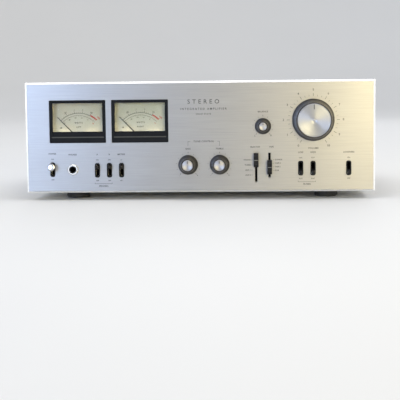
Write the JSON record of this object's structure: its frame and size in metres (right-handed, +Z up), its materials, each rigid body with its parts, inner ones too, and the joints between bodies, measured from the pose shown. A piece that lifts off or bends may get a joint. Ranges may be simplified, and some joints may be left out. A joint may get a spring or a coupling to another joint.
{
  "type": "integrated stereo amplifier",
  "caption": "Low wide hi-fi amplifier: brushed metal front with needle meters, round volume and tone knobs, lever switches and slide selectors, in a vented black steel case on round feet.",
  "frame": {"origin": "centre of the overall box, on the surface that the feet stand on", "axes": "+X to the right of someone facing the front panel, the front panel faces -Y, +Z up"},
  "size_m": [0.41, 0.338, 0.139],
  "materials": {
    "brushed_panel": "brushed satin, bright chamfered edges",
    "plated_steel": "zinc plated sheet",
    "black_paint": "fine-textured black paint",
    "black_screws": "black oxide",
    "foot_plastic": "moulded, matte",
    "meter_black": "satin black",
    "meter_window": "clear acrylic, polished",
    "white_plastic": "translucent white",
    "dial_print": "cream printed dial",
    "magnet_steel": "ground alloy",
    "lamp_glass": "clear lamp",
    "bright_nuts": "nickel plated",
    "control_black": "satin black",
    "switch_black": "moulded phenolic",
    "board_brown": "phenolic laminate",
    "socket_plastic": "white and red insulators",
    "terminal_black": "moulded, glossy",
    "core_steel": "varnished laminations",
    "coil_wrap": "taped winding",
    "black_anodised": "black anodised",
    "capacitor_sleeve": "shrink sleeve",
    "relay_cover": "clear cover",
    "wire_sleeve": "sleeved wires",
    "knob_side": "knurled, dark anodised",
    "spun_cap": "spun face",
    "needle_metal": "black pointer",
    "bright_chrome": "polished"
  },
  "bodies": {
    "amplifier": {"ac_inlet": "terminal_black", "board_components": "capacitor_sleeve", "board_standoffs": "plated_steel", "case_screws": "black_screws", "chassis_pan": "plated_steel", "circuit_boards": "board_brown", "feet": "foot_plastic", "filter_capacitors": "capacitor_sleeve", "front_panel": "brushed_panel", "front_subpanel": "plated_steel", "headphone_jack": "control_black", "heatsink": "black_anodised", "lever_slot_bezels": "control_black", "lever_switches": "switch_black", "meter_bezels": "meter_black", "meter_cases": "white_plastic", "meter_lamps": "lamp_glass", "meter_lenses": "meter_window", "meter_movements": "magnet_steel", "meter_scales": "dial_print", "panel_nuts": "bright_nuts", "potentiometers": "plated_steel", "power_transistors": "bright_nuts", "protection_relay": "relay_cover", "rca_cores": "socket_plastic", "rca_plate": "board_brown", "rca_shells": "bright_nuts", "rear_panel": "black_paint", "selector_switches": "switch_black", "speaker_terminal_block": "terminal_black", "terminal_screws": "bright_nuts", "top_cover": "black_paint", "transformer_bracket": "plated_steel", "transformer_coil": "coil_wrap", "transformer_core": "core_steel", "wiring_loom": "wire_sleeve"},
    "volume_knob": {"volume_knob_body": "knob_side", "volume_knob_cap": "spun_cap", "volume_shaft": "plated_steel"},
    "balance_knob": {"balance_knob_body": "knob_side", "balance_knob_cap": "spun_cap", "balance_shaft": "plated_steel"},
    "bass_knob": {"bass_knob_body": "knob_side", "bass_knob_cap": "spun_cap", "bass_shaft": "plated_steel"},
    "treble_knob": {"treble_knob_body": "knob_side", "treble_knob_cap": "spun_cap", "treble_shaft": "plated_steel"},
    "left_needle": {"meter_needle_left": "needle_metal"},
    "right_needle": {"meter_needle_right": "needle_metal"},
    "power_switch_lever": {"power_lever": "bright_chrome"},
    "speaker_a_switch_lever": {"speaker_a_lever": "control_black"},
    "speaker_b_switch_lever": {"speaker_b_lever": "control_black"},
    "meter_range_switch_lever": {"meter_range_lever": "control_black"},
    "low_filter_switch_lever": {"low_filter_lever": "control_black"},
    "high_filter_switch_lever": {"high_filter_lever": "control_black"},
    "loudness_switch_lever": {"loudness_lever": "control_black"},
    "input_selector": {"input_selector_handle": "control_black"},
    "tape_selector": {"tape_selector_handle": "control_black"},
    "ground_thumbscrew": {"ground_screw": "bright_nuts"}
  },
  "joints": [
    {"name": "volume_knob_turn", "type": "hinge", "parent": "amplifier", "child": "volume_knob", "pos_m": [0.1333, -0.157, 0.0928], "axis": [0, 1, 0], "range_deg": [-150, 150]},
    {"name": "balance_knob_turn", "type": "hinge", "parent": "amplifier", "child": "balance_knob", "pos_m": [0.0746, -0.1525, 0.0859], "axis": [0, 1, 0], "range_deg": [-140, 140]},
    {"name": "bass_knob_turn", "type": "hinge", "parent": "amplifier", "child": "bass_knob", "pos_m": [-0.0134, -0.1535, 0.0413], "axis": [0, 1, 0], "range_deg": [-140, 140]},
    {"name": "treble_knob_turn", "type": "hinge", "parent": "amplifier", "child": "treble_knob", "pos_m": [0.0237, -0.1535, 0.0413], "axis": [0, 1, 0], "range_deg": [-140, 140]},
    {"name": "left_needle_swing", "type": "hinge", "parent": "amplifier", "child": "left_needle", "pos_m": [-0.1435, -0.1385, 0.0732], "axis": [0, 1, 0], "range_deg": [0, 90], "stiffness_Nm_per_rad": 0.0002, "springref_deg": -17.19},
    {"name": "right_needle_swing", "type": "hinge", "parent": "amplifier", "child": "right_needle", "pos_m": [-0.0698, -0.1385, 0.0732], "axis": [0, 1, 0], "range_deg": [0, 90], "stiffness_Nm_per_rad": 0.0002, "springref_deg": -17.19},
    {"name": "power_lever_flip", "type": "hinge", "parent": "amplifier", "child": "power_switch_lever", "pos_m": [-0.1741, -0.122, 0.0366], "axis": [1, 0, 0], "range_deg": [0, 12]},
    {"name": "speaker_a_lever_flip", "type": "hinge", "parent": "amplifier", "child": "speaker_a_switch_lever", "pos_m": [-0.1209, -0.122, 0.0355], "axis": [1, 0, 0], "range_deg": [0, 16]},
    {"name": "speaker_b_lever_flip", "type": "hinge", "parent": "amplifier", "child": "speaker_b_switch_lever", "pos_m": [-0.1066, -0.122, 0.0355], "axis": [1, 0, 0], "range_deg": [0, 16]},
    {"name": "meter_range_lever_flip", "type": "hinge", "parent": "amplifier", "child": "meter_range_switch_lever", "pos_m": [-0.0923, -0.122, 0.0355], "axis": [1, 0, 0], "range_deg": [0, 16]},
    {"name": "low_filter_lever_flip", "type": "hinge", "parent": "amplifier", "child": "low_filter_switch_lever", "pos_m": [0.1185, -0.122, 0.0363], "axis": [1, 0, 0], "range_deg": [-16, 0]},
    {"name": "high_filter_lever_flip", "type": "hinge", "parent": "amplifier", "child": "high_filter_switch_lever", "pos_m": [0.1329, -0.122, 0.0363], "axis": [1, 0, 0], "range_deg": [-16, 0]},
    {"name": "loudness_lever_flip", "type": "hinge", "parent": "amplifier", "child": "loudness_switch_lever", "pos_m": [0.1744, -0.122, 0.0363], "axis": [1, 0, 0], "range_deg": [-16, 0]},
    {"name": "input_selector_slide", "type": "slide", "parent": "amplifier", "child": "input_selector", "axis": [0, 0, 1], "range_m": [-0.0178, 0]},
    {"name": "tape_selector_slide", "type": "slide", "parent": "amplifier", "child": "tape_selector", "axis": [0, 0, 1], "range_m": [-0.0042, 0.0084]},
    {"name": "ground_screw_turn", "type": "hinge", "parent": "amplifier", "child": "ground_thumbscrew", "pos_m": [0.045, 0.162, 0.071], "axis": [0, 1, 0], "continuous": true}
  ]
}
